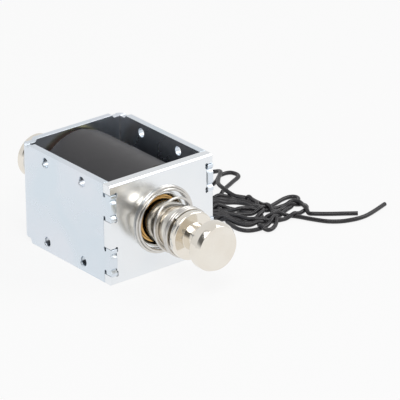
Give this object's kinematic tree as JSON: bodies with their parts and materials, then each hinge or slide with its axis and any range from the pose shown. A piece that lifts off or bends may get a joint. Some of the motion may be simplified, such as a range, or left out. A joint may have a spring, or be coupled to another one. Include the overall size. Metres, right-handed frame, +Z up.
{
  "type": "push pull solenoid",
  "caption": "Open-frame push-pull solenoid: a sprung plunger with a grooved head at the front, a push rod with a button at the rear, tapped side holes and loose leads.",
  "frame": {"origin": "on the ground, under the middle of the overall length and width, leads left out", "axes": "+Z up, the plunger's axis along Y with its head towards -Y and the push rod's button towards +Y, leads on the +X side"},
  "size_m": [0.1187, 0.1068, 0.0381],
  "materials": {
    "zinc_strip": "clear zinc plating, satin with a faint blue cast",
    "zinc_plate": "clear zinc plating, smoother and brighter than the strip",
    "bobbin_nylon": "moulded, matt",
    "copper_winding": "enamelled copper wire in close layers",
    "yellow_tape": "polyester film tape",
    "black_tape": "black tape, satin, with laps",
    "fibre": "vulcanised fibre",
    "spring_steel": "bright drawn wire",
    "brass_sleeve": "drawn brass tube",
    "pole_steel": "turned, zinc plated",
    "bronze_bush": "sintered bronze",
    "shim_brass": "thin rolled sheet",
    "black_rubber": "matt rubber",
    "nickel": "bright nickel plating with a warm cast",
    "rod_steel": "ground stainless steel",
    "clip_steel": "oiled black spring steel",
    "lead_pvc": "black wire insulation"
  },
  "bodies": {
    "frame": {"u_frame": "zinc_strip", "front_plate": "zinc_plate", "bobbin": "bobbin_nylon", "winding": "copper_winding", "insulation_tape": "yellow_tape", "coil_tape": "black_tape", "front_fibre_washer": "fibre", "rear_fibre_washer": "fibre", "wave_washer": "spring_steel", "guide_sleeve": "brass_sleeve", "stator_pole": "pole_steel", "rod_bush": "bronze_bush", "pole_shim": "shim_brass", "stop_washer": "black_rubber", "return_spring": "spring_steel", "lead_a": "lead_pvc", "lead_b": "lead_pvc", "lead_a_end": "lead_pvc", "lead_b_end": "lead_pvc", "lead_hank": "lead_pvc"},
    "plunger": {"plunger": "nickel", "push_rod": "rod_steel", "push_button": "nickel", "retaining_clip": "clip_steel"}
  },
  "joints": [
    {"name": "plunger_slide", "type": "slide", "parent": "frame", "child": "plunger", "axis": [0, 1, 0], "range_m": [0, 0.01], "stiffness_N_per_m": 500, "springref_m": -0.002, "deforming": ["return_spring"]}
  ]
}
